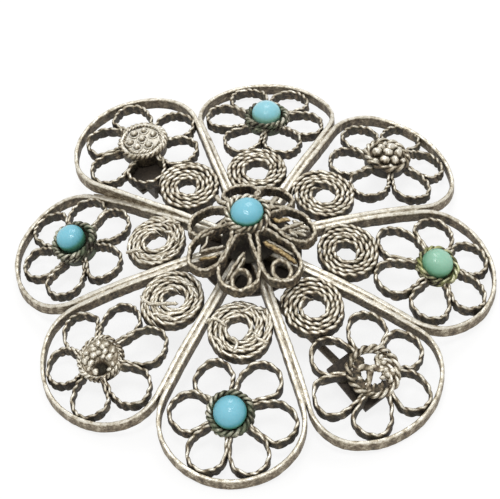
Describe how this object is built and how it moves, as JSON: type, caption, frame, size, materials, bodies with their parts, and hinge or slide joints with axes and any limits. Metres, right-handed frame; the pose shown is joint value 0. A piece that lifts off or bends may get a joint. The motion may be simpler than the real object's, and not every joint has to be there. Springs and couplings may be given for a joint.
{
  "type": "flower brooch",
  "caption": "Domed filigree brooch shaped as an open flower, its petals framed in flat wire with rosettes, coils and round turquoise stones, with a hinged pin on the back.",
  "frame": {"origin": "middle of the brooch's box, on the surface that it lies on", "axes": "+Z out of the front of the brooch, +X along the pin from its point to its hinge"},
  "size_m": [0.0478, 0.0478, 0.0123],
  "materials": {
    "silver": "tarnished cast and drawn silver, bright on the high edges and brown in the hollows",
    "dark_silver": "dull, dark silver of the fittings on the back",
    "turquoise": "polished sky blue turquoise",
    "green_turquoise": "polished green turquoise"
  },
  "bodies": {
    "brooch": {"petal_1": "silver", "petal_2": "silver", "petal_3": "silver", "petal_4": "silver", "petal_5": "silver", "petal_6": "silver", "petal_7": "silver", "petal_8": "silver", "centre_flower": "silver", "centre_stone": "turquoise", "stone_2": "green_turquoise", "stone_4": "turquoise", "stone_6": "turquoise", "stone_8": "turquoise", "pin_hinge": "dark_silver", "pin_catch": "dark_silver"},
    "pin": {"pin_stem": "dark_silver"}
  },
  "joints": [
    {"name": "pin_hinge", "type": "hinge", "parent": "brooch", "child": "pin", "pos_m": [0.01511, -0.00047, 0.001], "axis": [0, -1, 0], "range_deg": [0, 100]}
  ]
}
